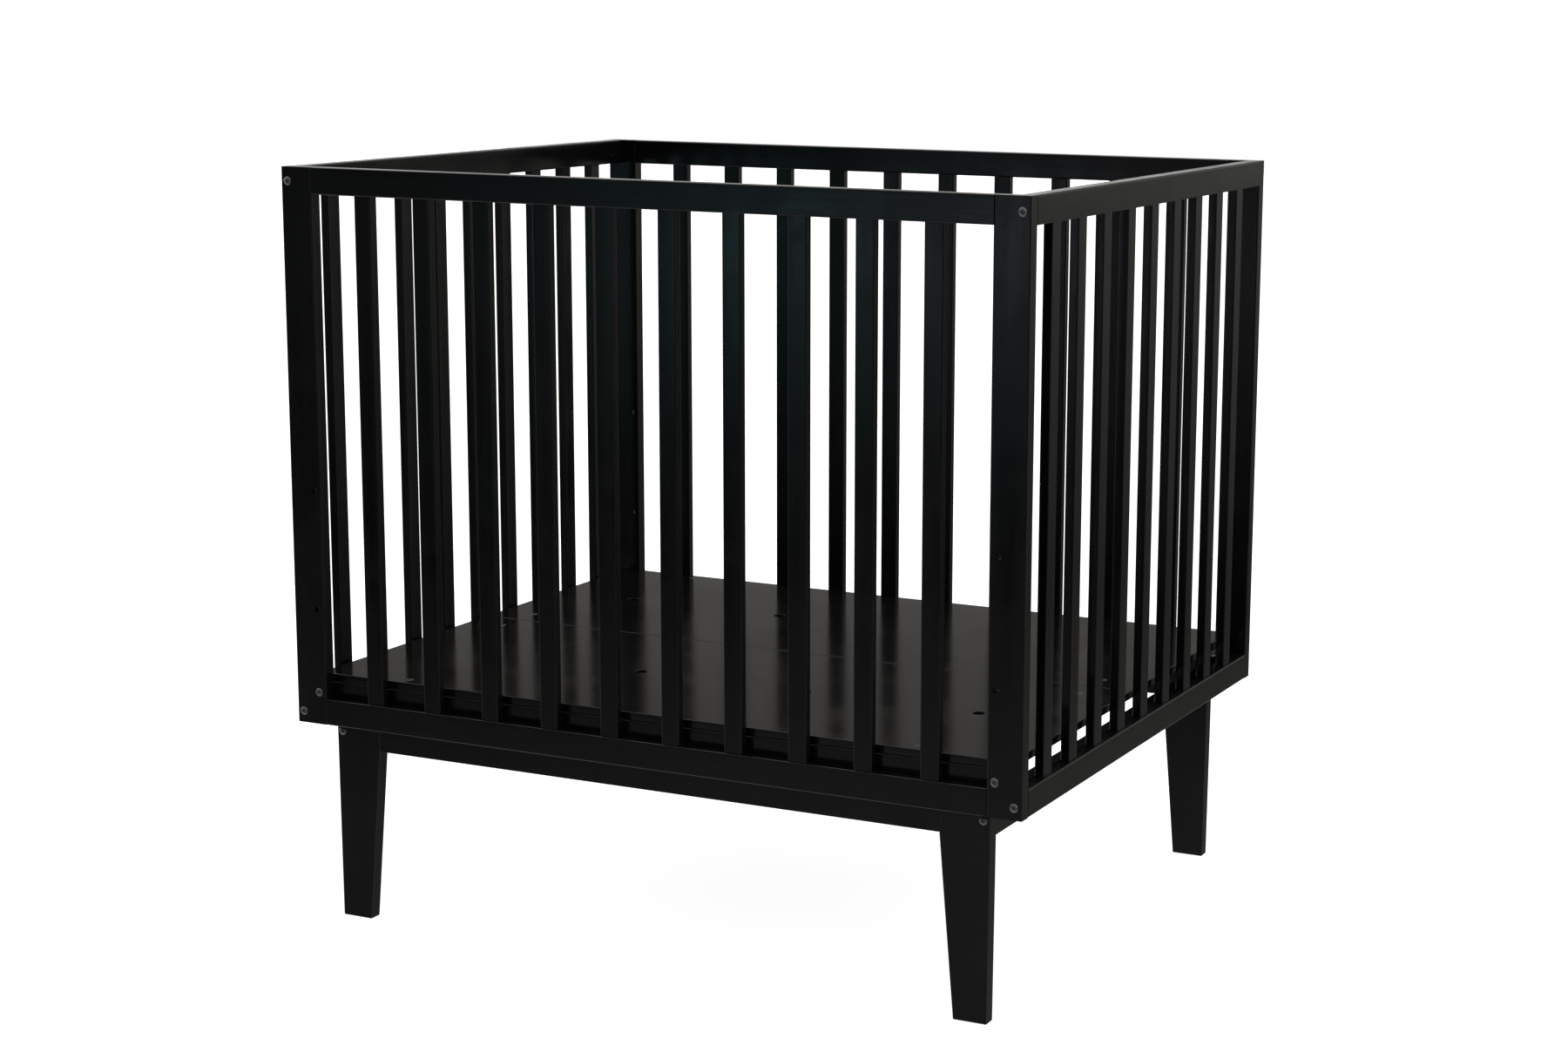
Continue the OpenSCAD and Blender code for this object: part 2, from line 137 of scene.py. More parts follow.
def turned(name, outline, sides=ROUND_SIDES):
    """A turned shape about Z, from its (radius, height) outline from the bottom up."""
    bpy.ops.object.select_all(action="DESELECT")
    bpy.ops.mesh.primitive_circle_add(vertices=sides, radius=outline[0][0], fill_type="NGON",
                                      location=(0, 0, outline[0][1]))
    piece = bpy.context.object
    piece.name = piece.data.name = name
    bpy.ops.object.transform_apply(location=True, rotation=True, scale=True)
    bpy.ops.object.mode_set(mode="EDIT")
    bpy.ops.mesh.select_all(action="SELECT")
    for (radius, height), (next_radius, next_height) in zip(outline, outline[1:]):
        lift = {"value": (0, 0, next_height - height)}
        bpy.ops.mesh.extrude_region_move(TRANSFORM_OT_translate=lift)
        spread = next_radius / radius
        bpy.ops.transform.resize(value=(spread, spread, 1), center_override=(0, 0, next_height))
    bpy.ops.mesh.select_all(action="SELECT")
    bpy.ops.mesh.normals_make_consistent(inside=False)
    bpy.ops.object.mode_set(mode="OBJECT")
    return piece


def put(piece, place, way):
    """Stands a piece that was made about Z at a place, with its top pointing along way."""
    piece.rotation_euler = Vector(way).to_track_quat("Z", "Y").to_euler()
    piece.location = place
    pick(piece)
    bpy.ops.object.transform_apply(location=True, rotation=True, scale=True)
    return piece


def drill(place, way, radius, depth, through=True, ease=HOLE_EASE):
    """A drill that enters a face at place along way. It eases the rim of each open end."""
    bulge = EASE_BULGE * ease
    rim = [(radius + ease, -OVERCUT), (radius + ease, 0), (radius + bulge, bulge), (radius, ease)]
    far = [(r, depth - h) for r, h in reversed(rim)] if through else [(radius, depth)]
    return put(turned("drill", rim + far), place, way)


def bore(piece, *tools):
    """Cuts the tools out of a piece, and puts them away."""
    pick(*tools)
    if len(tools) > 1:
        bpy.ops.object.join()
    tool = bpy.context.object
    pick(piece)
    cut = piece.modifiers.new("cut", "BOOLEAN")
    cut.object = tool
    cut.solver = "EXACT"
    bpy.ops.object.modifier_apply(modifier=cut.name)
    bpy.data.objects.remove(tool)


def fitted(piece, finish, slot, body, *nodes):
    """Evens out a piece's shading, gives it its finish and fits it to its body."""
    pick(piece)
    bpy.ops.object.shade_smooth_by_angle(angle=math.radians(SHARP_ANGLE))
    even = piece.modifiers.new("even", "WEIGHTED_NORMAL")
    even.keep_sharp = True
    bpy.ops.object.modifier_apply(modifier=even.name)
    piece.data.materials.clear()
    piece.data.materials.append(finish)
    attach(piece, body)
    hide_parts(*nodes)


def node(tree, kind, inputs=None, **settings):
    """Adds a shader node. Each input is a number, a colour or another node's output."""
    added = tree.nodes.new("ShaderNode" + kind)
    for key, value in settings.items():
        setattr(added, key, value)
    for key, value in (inputs or {}).items():
        if isinstance(value, bpy.types.NodeSocket):
            tree.links.new(value, added.inputs[key])
        else:
            added.inputs[key].default_value = value
    return added


def effect(name, inputs, outputs):
    """Starts an effect that several finishes share, as a group with named inputs and outputs."""
    tree = bpy.data.node_groups.new(name, "ShaderNodeTree")
    for label, kind, value in inputs:
        socket = tree.interface.new_socket(label, in_out="INPUT", socket_type="NodeSocket" + kind)
        if value is not None:
            socket.default_value = value
    for label in outputs:
        tree.interface.new_socket(label, in_out="OUTPUT", socket_type="NodeSocketFloat")
    given = tree.nodes.new("NodeGroupInput").outputs
    made = tree.nodes.new("NodeGroupOutput").inputs
    return tree, given, made


def step(tree, value, low, high):
    """A smooth step: 0 where the value is low and 1 where it is high."""
    mapped = node(tree, "MapRange", {"Value": value, "From Min": low, "From Max": high},
                  interpolation_type="SMOOTHSTEP")
    return mapped.outputs["Result"]


def maths(tree, how, *values):
    return node(tree, "Math", dict(enumerate(values)), operation=how).outputs[0]


def total(tree, start, *parts):
    """start plus each mask times its share."""
    for mask, share in parts:
        start = maths(tree, "MULTIPLY_ADD", mask, share, start)
    return start


# A Mix node has sockets for every kind of value. These are its two colours and its result.
MIX_FIRST = 6
MIX_SECOND = 7
MIX_RESULT = 2


def mixed(tree, amount, first, second):
    blended = node(tree, "Mix", {"Factor": amount, MIX_FIRST: first, MIX_SECOND: second},
                   data_type="RGBA")
    return blended.outputs[MIX_RESULT]


# Grain: thin pores and a slow, wavering figure, on coordinates squeezed along the grain.
timber_grain, given, made = effect(
    "timber_grain",
    [("Vector", "Vector", None), ("Pore Scale", "Float", 1100.0), ("Figure Scale", "Float", 60.0)],
    ["Pores", "Figure"])
pore_noise = node(timber_grain, "TexNoise", {
    "Vector": given["Vector"], "Scale": given["Pore Scale"], "Detail": 3.0, "Roughness": 0.6})
figure_noise = node(timber_grain, "TexNoise", {
    "Vector": given["Vector"], "Scale": given["Figure Scale"], "Detail": 4.0, "Roughness": 0.6,
    "Distortion": 0.5})
timber_grain.links.new(step(timber_grain, pore_noise.outputs["Fac"], 0.54, 0.72), made["Pores"])
timber_grain.links.new(step(timber_grain, figure_noise.outputs["Fac"], 0.3, 0.7), made["Figure"])

# Film: the shallow orange peel of a sprayed coat, and the odd nib of dust under it.
sprayed_film, given, made = effect(
    "sprayed_film",
    [("Vector", "Vector", None), ("Peel Scale", "Float", 380.0), ("Nib Scale", "Float", 90.0)],
    ["Peel", "Nibs"])
peel_noise = node(sprayed_film, "TexNoise", {
    "Vector": given["Vector"], "Scale": given["Peel Scale"], "Detail": 2.0, "Roughness": 0.4})
nib_cells = node(sprayed_film, "TexVoronoi", {
    "Vector": given["Vector"], "Scale": given["Nib Scale"]})
sprayed_film.links.new(peel_noise.outputs["Fac"], made["Peel"])
sprayed_film.links.new(step(sprayed_film, nib_cells.outputs["Distance"], 0.07, 0.02), made["Nibs"])

# Edge wear: strongest on the sharpest edges, and broken up along them.
edge_wear, given, made = effect(
    "edge_wear",
    [("Vector", "Vector", None), ("Reach", "Float", 0.0025), ("Patch Scale", "Float", 35.0)],
    ["Edge"])
rounded = node(edge_wear, "Bevel", {"Radius": given["Reach"]}, samples=4)
facing = node(edge_wear, "NewGeometry").outputs["Normal"]
alike = node(edge_wear, "VectorMath", {0: rounded.outputs["Normal"], 1: facing},
             operation="DOT_PRODUCT").outputs["Value"]
patches = node(edge_wear, "TexNoise", {
    "Vector": given["Vector"], "Scale": given["Patch Scale"], "Detail": 5.0}).outputs["Fac"]
sharp = step(edge_wear, alike, 0.995, 0.9)
worn = maths(edge_wear, "MULTIPLY", sharp, step(edge_wear, patches, 0.35, 0.65))
edge_wear.links.new(worn, made["Edge"])

# Dust: fine specks that settle on what faces up, and cloudy wipe marks everywhere.
settled_dust, given, made = effect(
    "settled_dust",
    [("Vector", "Vector", None), ("Speck Scale", "Float", 700.0), ("Wipe Scale", "Float", 9.0)],
    ["Dust", "Wipes"])
facing = node(settled_dust, "NewGeometry").outputs["Normal"]
upward = node(settled_dust, "SeparateXYZ", {0: facing}).outputs["Z"]
specks = node(settled_dust, "TexNoise", {
    "Vector": given["Vector"], "Scale": given["Speck Scale"], "Detail": 2.0}).outputs["Fac"]
wipes = node(settled_dust, "TexNoise", {
    "Vector": given["Vector"], "Scale": given["Wipe Scale"], "Detail": 4.0,
    "Distortion": 1.2}).outputs["Fac"]
facing_up = step(settled_dust, upward, 0.4, 0.95)
settled = maths(settled_dust, "MULTIPLY", facing_up, step(settled_dust, specks, 0.6, 0.75))
settled_dust.links.new(settled, made["Dust"])
settled_dust.links.new(step(settled_dust, wipes, 0.35, 0.7), made["Wipes"])


def started(name):
    """A new finish: its node tree, its shader and its object coordinates."""
    finish = bpy.data.materials.new(name)
    finish.use_nodes = True
    tree = finish.node_tree
    return finish, tree, tree.nodes["Principled BSDF"], node(tree, "TexCoord").outputs["Object"]


def lacquer(name, along):
    """Black satin lacquer on timber whose grain runs along the given axis."""
    finish, tree, shader, place = started(name)
    squeeze = [1.0, 1.0, 1.0]
    squeeze[along] = GRAIN_SQUEEZE
    lie = node(tree, "Mapping", {"Vector": place, "Scale": squeeze}).outputs["Vector"]
    grain = node(tree, "Group", {"Vector": lie}, node_tree=timber_grain).outputs
    film = node(tree, "Group", {"Vector": place}, node_tree=sprayed_film).outputs
    edge = node(tree, "Group", {"Vector": place}, node_tree=edge_wear).outputs["Edge"]
    dust = node(tree, "Group", {"Vector": place}, node_tree=settled_dust).outputs
    paler = total(tree, 0.0, (grain["Figure"], 0.35), (edge, 0.65))
    dusty = total(tree, 0.0, (dust["Dust"], 0.12))
    colour = mixed(tree, dusty, mixed(tree, paler, BLACK, BLACK_PALER), DUST)
    tree.links.new(colour, shader.inputs["Base Color"])
    rough = total(tree, 0.13, (grain["Figure"], 0.04), (grain["Pores"], 0.06),
                  (dust["Wipes"], 0.05), (dust["Dust"], 0.12), (edge, 0.08))
    tree.links.new(rough, shader.inputs["Roughness"])
    height = total(tree, 0.0, (film["Peel"], 0.5), (film["Nibs"], 0.35), (grain["Pores"], -0.24),
                   (grain["Figure"], 0.7))
    bump = node(tree, "Bump", {"Height": height, "Strength": 0.3, "Distance": 0.00006})
    tree.links.new(bump.outputs["Normal"], shader.inputs["Normal"])
    shader.inputs["IOR"].default_value = 1.5
    return finish


lacquer_x = lacquer("black_lacquer_grain_x", 0)
lacquer_y = lacquer("black_lacquer_grain_y", 1)
lacquer_z = lacquer("black_lacquer_grain_z", 2)

bearer_low, bearer_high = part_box("front_bearer")
floor_bolt_z = (bearer_low.z + bearer_high.z) / 2
floor_lifts = (0, MIDDLE_LIFT, frame["joints"][0]["range_m"][1])
side_rail_low, side_rail_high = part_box("right_top_rail")
corner_bolt_x = (side_rail_low.x + side_rail_high.x) / 2
post_low, post_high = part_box("front_right_post")
post_t = post_high.y - post_low.y
floor_bolt_x = post_low.x + FLOOR_HOLE_IN
corner_bolt_zs = (post_high.z - TOP_BOLT_DROP, post_low.z + LOW_BOLT_RISE)

for face, sy in FACES.items():
    for side, sx in SIDES.items():
        low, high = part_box(f"{face}_{side}_post")
        post = bar(f"post_{face}_{side}", low, high)
        outside = high.y if sy > 0 else low.y
        holes = [(floor_bolt_x, floor_bolt_z + lift) for lift in floor_lifts]
        holes += [(corner_bolt_x, z) for z in corner_bolt_zs]
        bore(post, *[drill((sx * x, outside, z), (0, -sy, 0), BOLT_HOLE_R, post_t)
                     for x, z in holes])
        fitted(post, lacquer_z, "black_lacquer", "box", f"{face}_{side}_post")


# ---- Front and back rails and slats ----
# A top and a bottom rail of beech between the posts of each long panel, dowelled and glued to
# them. Ten slats stand in mortises in the two rails, all the same distance apart.

SLATS = {"front": 10, "back": 10, "left": 9, "right": 9}
RAIL_END_EASE = 0.0002
FIT_GAP = 0.0001
MORTISE_DEPTH = 0.010


def copied(piece, name, shift):
    """The same piece again at a distance from the first, with a mesh of its own."""
    pick(piece)
    bpy.ops.object.duplicate(linked=False)
    twin = bpy.context.object
    twin.name = twin.data.name = name
    bpy.ops.transform.translate(value=shift)
    bpy.ops.object.transform_apply(location=True, rotation=False, scale=False)
    return twin


def mortises(slats, low_z, high_z):
    """Chisels for the mortises of these (low, high) slats, between two heights."""
    gap = Vector((FIT_GAP, FIT_GAP, 0))
    return [blank("chisel", (low - gap).xy.to_3d() + Vector((0, 0, low_z)),
                  (high + gap).xy.to_3d() + Vector((0, 0, high_z))) for low, high in slats]


def cut_mortises(rail, slats, rail_low, rail_high, above):
    """Cuts a rail for slats that stand above it, or hang below it."""
    if above:
        bore(rail, *mortises(slats, rail_high.z - MORTISE_DEPTH, rail_high.z + OVERCUT))
    else:
        bore(rail, *mortises(slats, rail_low.z - OVERCUT, rail_low.z + MORTISE_DEPTH))


def stand_slats(panel, slats, node_names):
    """Makes one slat, copies it to each of the (low, high) places and fits it to its node."""
    pattern = bar("slat_pattern", *slats[0])
    for i, ((low, high), node_name) in enumerate(zip(slats, node_names), 1):
        slat = copied(pattern, f"slat_{panel}_{i}", low - slats[0][0])
        fitted(slat, lacquer_z, "black_lacquer", "box", node_name)
    bpy.data.objects.remove(pattern)


for face in FACES:
    slat_nodes = [f"{face}_slat_{i}" for i in range(1, SLATS[face] + 1)]
    slats = [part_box(node_name) for node_name in slat_nodes]
    for level in ("top", "bottom"):
        low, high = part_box(f"{face}_{level}_rail")
        rail = bar(f"rail_{face}_{level}", low, high, ease=RAIL_END_EASE)
        cut_mortises(rail, slats, low, high, level == "bottom")
        fitted(rail, lacquer_x, "black_lacquer", "box", f"{face}_{level}_rail")
    stand_slats(face, slats, slat_nodes)


# ---- Left and right rails and slats ----
# The end panels' rails butt against the backs of the posts. A bolt comes through each post
# into a barrel nut, which sits in a hole bored from the rail's inner face. Each end panel has
# nine slats, mortised like the others.

SIDE_SLAT_W = 0.024
BARREL_R = 0.005
BARREL_L = 0.012
BARREL_IN = 0.024
BARREL_HOLE_DEPTH = 0.016
RAIL_BOLT_HOLE = 0.034

for side, sx in SIDES.items():
    row_low, row_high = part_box(f"{side}_slats")
    pitch = (row_high.y - row_low.y - SIDE_SLAT_W) / (SLATS[side] - 1)
    first_high = Vector((row_high.x, row_low.y + SIDE_SLAT_W, row_high.z))
    slats = [(row_low + Vector((0, i * pitch, 0)), first_high + Vector((0, i * pitch, 0)))
             for i in range(SLATS[side])]
    for level, bolt_z in zip(("top", "bottom"), corner_bolt_zs):
        low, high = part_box(f"{side}_{level}_rail")
        rail = bar(f"rail_{side}_{level}", low, high, ease=RAIL_END_EASE)
        cut_mortises(rail, slats, low, high, level == "bottom")
        inside = low.x if sx > 0 else high.x
        bore(rail, *[drill((inside, sy * (high.y - BARREL_IN), bolt_z), (sx, 0, 0),
                           BARREL_R + FIT_GAP, BARREL_HOLE_DEPTH, through=False) for sy in (-1, 1)])
        bore(rail, *[drill((sx * corner_bolt_x, sy * high.y, bolt_z), (0, -sy, 0), BOLT_HOLE_R,
                           RAIL_BOLT_HOLE, through=False) for sy in (-1, 1)])
        fitted(rail, lacquer_y, "black_lacquer", "box", f"{side}_{level}_rail")
    stand_slats(side, slats, [f"{side}_slats"] * SLATS[side])


# ---- Dowels and pins ----
# Bare beech dowels, pressed in with glue: two at each end of a long rail, a thinner pin beside
# each corner bolt, and more in the floor's frame and the leg frame. None shows once the pen is
# together, so the plain turned shapes of the frame stay and only get their wood.

BEECH_PALE = (0.56, 0.37, 0.22, 1)
BEECH_DARK = (0.42, 0.25, 0.13, 1)

beech, tree, shader, place = started("bare_beech")
lie = node(tree, "Mapping", {"Vector": place, "Scale": (1.0, 0.3, 1.0)}).outputs["Vector"]
grain = node(tree, "Group", {"Vector": lie}, node_tree=timber_grain).outputs
flecks = total(tree, 0.0, (grain["Figure"], 0.5), (grain["Pores"], 0.5))
tree.links.new(mixed(tree, flecks, BEECH_PALE, BEECH_DARK), shader.inputs["Base Color"])
tree.links.new(total(tree, 0.55, (grain["Pores"], 0.2)), shader.inputs["Roughness"])

for name in ("panel_dowels", "corner_pins", "floor_dowels", "apron_dowels"):
    dowels = frame["nodes"][name]
    dowels.data.materials.clear()
    dowels.data.materials.append(beech)


# ---- Floor ----
# Two boards of fibreboard, lacquered smooth and black, with a seam along the middle and four
# air holes each. Countersunk screws hold them to a frame of two bearers and three cross rails.
# The bearers' ends are notched from below, where they hook over the floor bolts.

BOARD_EDGE_R = 0.001
VENT_R = 0.0075
VENT_EASE = 0.0009
VENTS = 4
VENT_END = 0.145
CROSS_SCREW_Y = 0.0395
SCREW_R = 0.002
SCREW_HEAD_R = 0.0045
SCREW_RIM = 0.0004
SCREW_CONE_END = SCREW_RIM + SCREW_HEAD_R - SCREW_R
SCREW_L = 0.027
SINK_EASE = 0.0005
SINK_EASE_DEPTH = 0.0003
NOTCH_R = 0.0034
FLOOR_BLACK = (0.0052, 0.0048, 0.0045, 1)
FLOOR_PALER = (0.0105, 0.0096, 0.0085, 1)

floor_lacquer, tree, shader, place = started("floor_lacquer")
lie = node(tree, "Mapping", {"Vector": place, "Scale": (0.12, 1.0, 1.0)}).outputs["Vector"]
grain = node(tree, "Group", {"Vector": lie, "Figure Scale": 25.0}, node_tree=timber_grain).outputs
film = node(tree, "Group", {"Vector": place, "Peel Scale": 260.0}, node_tree=sprayed_film).outputs
edge = node(tree, "Group", {"Vector": place}, node_tree=edge_wear).outputs["Edge"]
dust = node(tree, "Group", {"Vector": place, "Wipe Scale": 6.0}, node_tree=settled_dust).outputs
paler = total(tree, 0.0, (grain["Figure"], 0.3), (edge, 0.6))
dusty = total(tree, 0.0, (dust["Dust"], 0.12))
colour = mixed(tree, dusty, mixed(tree, paler, FLOOR_BLACK, FLOOR_PALER), DUST)
tree.links.new(colour, shader.inputs["Base Color"])
rough = total(tree, 0.13, (dust["Wipes"], 0.05), (dust["Dust"], 0.1), (edge, 0.06))
tree.links.new(rough, shader.inputs["Roughness"])
height = total(tree, 0.0, (film["Peel"], 0.6), (film["Nibs"], 0.6), (grain["Figure"], 0.4))
bump = node(tree, "Bump", {"Height": height, "Strength": 0.3, "Distance": 0.00007})
tree.links.new(bump.outputs["Normal"], shader.inputs["Normal"])
shader.inputs["IOR"].default_value = 1.5

board_low, board_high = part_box("back_floor_board")
board_t = board_high.z - board_low.z
bearer_mid_y = -(bearer_low.y + bearer_high.y) / 2
cross_low, cross_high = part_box("right_cross_rail")
cross_x = (cross_low.x + cross_high.x) / 2
vent_x = post_high.x - VENT_END
screw_places = [(sx * x, sy * y) for sy in (-1, 1) for sx in (-1, 1)
                for x, y in ((vent_x, bearer_mid_y), (cross_x, CROSS_SCREW_Y))]


def countersink(x, y):
    """The drill for one board screw: a hole for the shank, with a cone above it for the head."""
    rim = SCREW_HEAD_R + FIT_GAP
    outline = [(rim + SINK_EASE, -OVERCUT), (rim + SINK_EASE, 0), (rim, SINK_EASE_DEPTH),
               (rim, SCREW_RIM), (SCREW_R, SCREW_CONE_END), (SCREW_R, 2 * board_t)]
    return put(turned("countersink", outline), (x, y, board_high.z), (0, 0, -1))


for face, sy in FACES.items():
    low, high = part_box(f"{face}_floor_board")
    board = bar(f"board_{face}", low, high, BOARD_EDGE_R, BOARD_EDGE_R)
    vent_y = (low.y + high.y) / 2
    vent_xs = [vent_x * (2 * i / (VENTS - 1) - 1) for i in range(VENTS)]
    drills = [drill((x, vent_y, high.z), (0, 0, -1), VENT_R, board_t, ease=VENT_EASE)
              for x in vent_xs]
    drills += [countersink(x, y) for x, y in screw_places if y * sy > 0]
    bore(board, *drills)
    fitted(board, floor_lacquer, "floor_lacquer", "floor", f"{face}_floor_board")

    low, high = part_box(f"{face}_bearer")
    bearer = bar(f"bearer_{face}", low, high)
    bore(bearer, *[blank("notch", (sx * floor_bolt_x - NOTCH_R, low.y - OVERCUT, low.z - OVERCUT),
                         (sx * floor_bolt_x + NOTCH_R, high.y + OVERCUT, floor_bolt_z))
                   for sx in (-1, 1)])
    bore(bearer, *[drill((sx * floor_bolt_x, low.y, floor_bolt_z), (0, 1, 0), NOTCH_R,
                         high.y - low.y) for sx in (-1, 1)])
    fitted(bearer, lacquer_x, "black_lacquer", "floor", f"{face}_bearer")

for name in ("left", "centre", "right"):
    cross_rail = bar(f"cross_rail_{name}", *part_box(f"{name}_cross_rail"))
    fitted(cross_rail, lacquer_y, "black_lacquer", "floor", f"{name}_cross_rail")


# ---- Screws, bolts and nuts ----
# Black zinc-plated steel, worn to grey where a tool has touched it. Button-head bolts with a
# hexagon socket hold the corners, the legs and the floor. They run into barrel nuts, or into
# flange nuts behind the bearers. Countersunk cross-head screws hold the boards and the leg frame.

# Button-head bolts
HEAD_R = 0.00525
HEAD_H = 0.0033
HEAD_RIM = 0.001
HEAD_EASE = 0.0002
DOME_STEPS = 16
DOME_RINGS = 10
SHANK_R = 0.003
SHANK_TIP_R = 0.0024
SHANK_TIP_L = 0.0008
SOCKET_R = 0.002
SOCKET_DEPTH = 0.0021
SOCKET_END_SHARE = 0.2
SOCKET_END_L = 0.0005
SOCKET_EASE = 0.0003
SOCKET_EASE_L = 0.00025
SOCKET_LEAD = 0.0002
SOCKET_LEAD_L = 0.0008
SLIVER = 0.000005
HEX_CORNER = 1 / math.cos(math.radians(30))
BOLT_L = 0.050
FLOOR_BOLT_END = 0.001
LEG_BOLT_DROP = 0.010

# Barrel nuts
BARREL_EASE = 0.0005
BARREL_BORE_EASE = 0.0003
BARREL_SLOT_T = 0.0012
BARREL_SLOT_DEPTH = 0.0015

# Flange nuts
FLANGE_R = 0.0071
FLANGE_RIM_T = 0.0004
FLANGE_SLOPE = 0.0012
FLANGE_T = 0.0015
FLANGE_TOP = 0.002
FLANGE_BORE_EASE = 0.0004
HEX_R = 0.005
HEX_START = 0.0003
HEX_CHAMFER = 0.0008
FLANGE_NUT_H = 0.006

# Cross-head screws
SCREW_TIP_R = 0.0002
CROSS_HALF_L = 0.0023
CROSS_HALF_T = 0.0005
CROSS_DEPTH = 0.0018

# Their finish
STEEL = (0.24, 0.24, 0.245, 1)
STEEL_WORN = (0.52, 0.52, 0.53, 1)

dark_steel, tree, shader, place = started("dark_steel")
edge = node(tree, "Group", {"Vector": place, "Reach": 0.0007, "Patch Scale": 300.0},
            node_tree=edge_wear).outputs["Edge"]
film = node(tree, "Group", {"Vector": place, "Peel Scale": 1600.0, "Nib Scale": 500.0},
            node_tree=sprayed_film).outputs
worn = total(tree, 0.0, (edge, 0.9), (film["Nibs"], 0.3))
tree.links.new(mixed(tree, worn, STEEL, STEEL_WORN), shader.inputs["Base Color"])
tree.links.new(total(tree, 0.28, (film["Peel"], 0.14), (edge, -0.08)), shader.inputs["Roughness"])
bump = node(tree, "Bump", {"Height": film["Peel"], "Strength": 0.25, "Distance": 0.00005})
tree.links.new(bump.outputs["Normal"], shader.inputs["Normal"])
shader.inputs["Metallic"].default_value = 1.0


def button_bolt(length):
    """A button-head bolt about Z, with its head standing on z = 0."""
    rise = HEAD_H - HEAD_RIM
    ball_r = (HEAD_R ** 2 + rise ** 2) / (2 * rise)
    dome = [(r, HEAD_H - ball_r + math.sqrt(ball_r ** 2 - r ** 2))
            for r in (HEAD_R * (1 - i / DOME_STEPS) for i in range(DOME_RINGS))]
    bolt = turned("bolt", [(SHANK_TIP_R, -length), (SHANK_R, -length + SHANK_TIP_L), (SHANK_R, 0),
                           (HEAD_R - HEAD_EASE, 0), (HEAD_R, HEAD_EASE)] + dome)
    corner_r = SOCKET_R * HEX_CORNER
    mouth = turned("mouth", [(corner_r + SOCKET_EASE, 0), (corner_r + SOCKET_EASE, SOCKET_EASE_L),
                             (corner_r - SOCKET_LEAD, SOCKET_LEAD_L)])
    key = turned("key", [(corner_r, 0), (corner_r, SOCKET_DEPTH),
                         (SOCKET_END_SHARE * corner_r, SOCKET_DEPTH + SOCKET_END_L)], sides=6)
    for tool in (mouth, key):
        bore(bolt, put(tool, (0, 0, HEAD_H), (0, 0, -1)))
    pick(bolt)
    bpy.ops.object.mode_set(mode="EDIT")
    bpy.ops.mesh.select_all(action="SELECT")
    bpy.ops.mesh.remove_doubles(threshold=SLIVER)
    bpy.ops.mesh.dissolve_degenerate(threshold=SLIVER)
    bpy.ops.object.mode_set(mode="OBJECT")
    return bolt


def barrel_nut():
    """A barrel nut about Z, with a cross bore and a screwdriver slot in its top."""
    half = BARREL_L / 2
    end = [(BARREL_R, half - BARREL_EASE), (BARREL_R - BARREL_EASE, half)]
    nut = turned("barrel", [(radius, -height) for radius, height in reversed(end)] + end)
    bore(nut, drill((0, -BARREL_R, 0), (0, 1, 0), SHANK_R, 2 * BARREL_R, ease=BARREL_BORE_EASE))
    bore(nut, blank("slot", (-BARREL_R, -BARREL_SLOT_T / 2, half - BARREL_SLOT_DEPTH),
                    (BARREL_R, BARREL_SLOT_T / 2, half + OVERCUT)))
    return nut


def flange_nut():
    """A hexagon nut with a flange, about Z, bearing on z = 0."""
    flange = turned("flange", [(FLANGE_R, 0), (FLANGE_R, FLANGE_RIM_T),
                               (FLANGE_R - FLANGE_SLOPE, FLANGE_T), (HEX_R, FLANGE_TOP)])
    corner_r = HEX_R * HEX_CORNER
    hexagon = turned("hexagon", [(corner_r, HEX_START), (corner_r, FLANGE_NUT_H - HEX_CHAMFER),
                                 (HEX_R, FLANGE_NUT_H)], sides=6)
    pick(flange)
    weld = flange.modifiers.new("weld", "BOOLEAN")
    weld.object, weld.operation, weld.solver = hexagon, "UNION", "EXACT"
    bpy.ops.object.modifier_apply(modifier=weld.name)
    bpy.data.objects.remove(hexagon)
    bore(flange, drill((0, 0, 0), (0, 0, 1), SHANK_R, FLANGE_NUT_H, ease=FLANGE_BORE_EASE))
    return flange


def wood_screw(length):
    """A countersunk cross-head screw about Z, with its head's top at z = 0."""
    screw = turned("screw", [(SCREW_TIP_R, -length), (SCREW_R, -length + 2 * SCREW_R),
                             (SCREW_R, -SCREW_CONE_END), (SCREW_HEAD_R, -SCREW_RIM),
                             (SCREW_HEAD_R - HEAD_EASE, 0)])
    for x, y in ((CROSS_HALF_L, CROSS_HALF_T), (CROSS_HALF_T, CROSS_HALF_L)):
        bore(screw, blank("blade", (-x, -y, -CROSS_DEPTH), (x, y, OVERCUT)))
    return screw


def set_in(name, pattern, places, node_name, body):
    """Copies a fastener to each (place, way) and fits them all as one set."""
    fasteners = [put(copied(pattern, name, (0, 0, 0)), place, way) for place, way in places]
    bpy.data.objects.remove(pattern)
    pick(*fasteners)
    bpy.ops.object.join()
    joined = bpy.context.object
    joined.name = joined.data.name = name
    fitted(joined, dark_steel, "dark_steel", body, node_name)


leg_low, leg_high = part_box("front_right_leg")
leg_t = leg_high.y - leg_low.y
leg_bolt_z = post_low.z - LEG_BOLT_DROP
leg_bolt_x = leg_high.x - leg_t / 2
front_y = -post_low.y
leg_y = -leg_low.y
corners = [(sx, sy) for sy in (-1, 1) for sx in (-1, 1)]

frame_bolt_places = [((sx * corner_bolt_x, sy * front_y, z), (0, sy, 0))
                     for sx, sy in corners for z in corner_bolt_zs]
frame_bolt_places += [((sx * leg_bolt_x, sy * leg_y, leg_bolt_z), (0, sy, 0))
                      for sx, sy in corners]
set_in("bolts_frame", button_bolt(BOLT_L), frame_bolt_places, "frame_bolts", "box")

